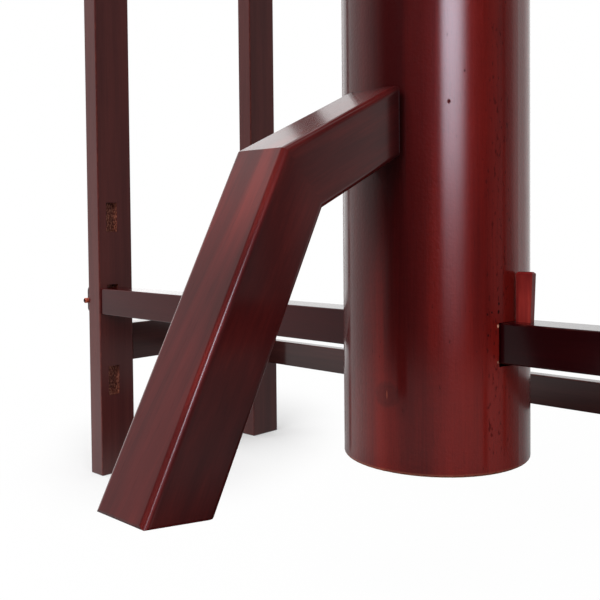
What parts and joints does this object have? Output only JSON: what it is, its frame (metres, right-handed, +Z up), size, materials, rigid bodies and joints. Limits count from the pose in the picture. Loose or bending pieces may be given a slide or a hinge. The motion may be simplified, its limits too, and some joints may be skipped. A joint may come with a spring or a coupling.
{
  "type": "wooden training dummy on stand",
  "caption": "Wooden martial-arts training dummy: a round trunk with turned arms and a bent leg, hung on slats that are pegged into a free-standing timber frame.",
  "frame": {"origin": "on the floor, under the middle of the bounding box", "axes": "+Z up; -Y is the front, where the leg and arms point; +X to the right of someone who faces the front"},
  "size_m": [1.468, 0.8522, 1.64],
  "materials": {
    "trunk_wood": "gloss lacquer over dark red stain",
    "leg_wood": "gloss lacquer over brown-red stain",
    "slat_wood": "gloss lacquer over dark red stain",
    "frame_wood": "satin lacquer over brown-red stain",
    "key_wood": "satin lacquer over red stain",
    "peg_wood": "thin red stain"
  },
  "bodies": {
    "frame": {"lower_slat": "slat_wood", "upper_slat": "slat_wood", "front_upright_right": "frame_wood", "front_upright_left": "frame_wood", "rear_upright_right": "frame_wood", "rear_upright_left": "frame_wood", "lower_side_rail_right": "frame_wood", "lower_side_rail_left": "frame_wood", "upper_side_rail_right": "frame_wood", "upper_side_rail_left": "frame_wood", "lower_rear_rail": "frame_wood", "upper_rear_rail": "frame_wood", "side_rail_pegs_right": "peg_wood", "side_rail_pegs_left": "peg_wood", "rear_rail_pegs": "peg_wood"},
    "trunk": {"trunk": "trunk_wood"},
    "leg": {"leg": "leg_wood"},
    "leg_pin": {"leg_pin": "peg_wood"},
    "upper_arm_right": {"upper_arm_right": "leg_wood"},
    "upper_arm_left": {"upper_arm_left": "leg_wood"},
    "middle_arm": {"middle_arm": "leg_wood"},
    "upper_arm_pin_right": {"upper_arm_pin_right": "peg_wood"},
    "upper_arm_pin_left": {"upper_arm_pin_left": "peg_wood"},
    "middle_arm_pin": {"middle_arm_pin": "peg_wood"},
    "lower_key_right": {"lower_key_right": "key_wood"},
    "lower_key_left": {"lower_key_left": "key_wood"},
    "upper_key_right": {"upper_key_right": "key_wood"},
    "upper_key_left": {"upper_key_left": "key_wood"},
    "lower_slat_peg_right": {"lower_slat_peg_right": "peg_wood"},
    "lower_slat_peg_left": {"lower_slat_peg_left": "peg_wood"},
    "upper_slat_peg_right": {"upper_slat_peg_right": "peg_wood"},
    "upper_slat_peg_left": {"upper_slat_peg_left": "peg_wood"}
  },
  "joints": [
    {"name": "trunk_shift", "type": "slide", "parent": "frame", "child": "trunk", "axis": [1, 0, 0], "range_m": [-0.002, 0.002]},
    {"name": "leg_draw", "type": "slide", "parent": "trunk", "child": "leg", "axis": [0, -0.9135, -0.4067], "range_m": [-0.002, 0]},
    {"name": "leg_pin_pull", "type": "slide", "parent": "leg", "child": "leg_pin", "axis": [1, 0, 0], "range_m": [0, 0.062]},
    {"name": "upper_arm_right_draw", "type": "slide", "parent": "trunk", "child": "upper_arm_right", "axis": [0.2588, -0.9659, 0], "range_m": [0, 0.006]},
    {"name": "upper_arm_pin_right_pull", "type": "slide", "parent": "upper_arm_right", "child": "upper_arm_pin_right", "axis": [0, 0, 1], "range_m": [0, 0.052]},
    {"name": "upper_arm_left_draw", "type": "slide", "parent": "trunk", "child": "upper_arm_left", "axis": [-0.2588, -0.9659, 0], "range_m": [0, 0.006]},
    {"name": "upper_arm_pin_left_pull", "type": "slide", "parent": "upper_arm_left", "child": "upper_arm_pin_left", "axis": [0, 0, 1], "range_m": [0, 0.052]},
    {"name": "middle_arm_draw", "type": "slide", "parent": "trunk", "child": "middle_arm", "axis": [0, -1, 0], "range_m": [0, 0.006]},
    {"name": "middle_arm_pin_pull", "type": "slide", "parent": "middle_arm", "child": "middle_arm_pin", "axis": [0, 0, 1], "range_m": [0, 0.052]},
    {"name": "lower_key_right_lift", "type": "slide", "parent": "frame", "child": "lower_key_right", "axis": [0, 0, 1], "range_m": [0, 0.031]},
    {"name": "lower_slat_peg_right_pull", "type": "slide", "parent": "frame", "child": "lower_slat_peg_right", "axis": [0, -1, 0], "range_m": [0, 0.041]},
    {"name": "lower_key_left_lift", "type": "slide", "parent": "frame", "child": "lower_key_left", "axis": [0, 0, 1], "range_m": [0, 0.031]},
    {"name": "lower_slat_peg_left_pull", "type": "slide", "parent": "frame", "child": "lower_slat_peg_left", "axis": [0, -1, 0], "range_m": [0, 0.041]},
    {"name": "upper_key_right_lift", "type": "slide", "parent": "frame", "child": "upper_key_right", "axis": [0, 0, 1], "range_m": [0, 0.031]},
    {"name": "upper_slat_peg_right_pull", "type": "slide", "parent": "frame", "child": "upper_slat_peg_right", "axis": [0, -1, 0], "range_m": [0, 0.041]},
    {"name": "upper_key_left_lift", "type": "slide", "parent": "frame", "child": "upper_key_left", "axis": [0, 0, 1], "range_m": [0, 0.031]},
    {"name": "upper_slat_peg_left_pull", "type": "slide", "parent": "frame", "child": "upper_slat_peg_left", "axis": [0, -1, 0], "range_m": [0, 0.041]}
  ]
}
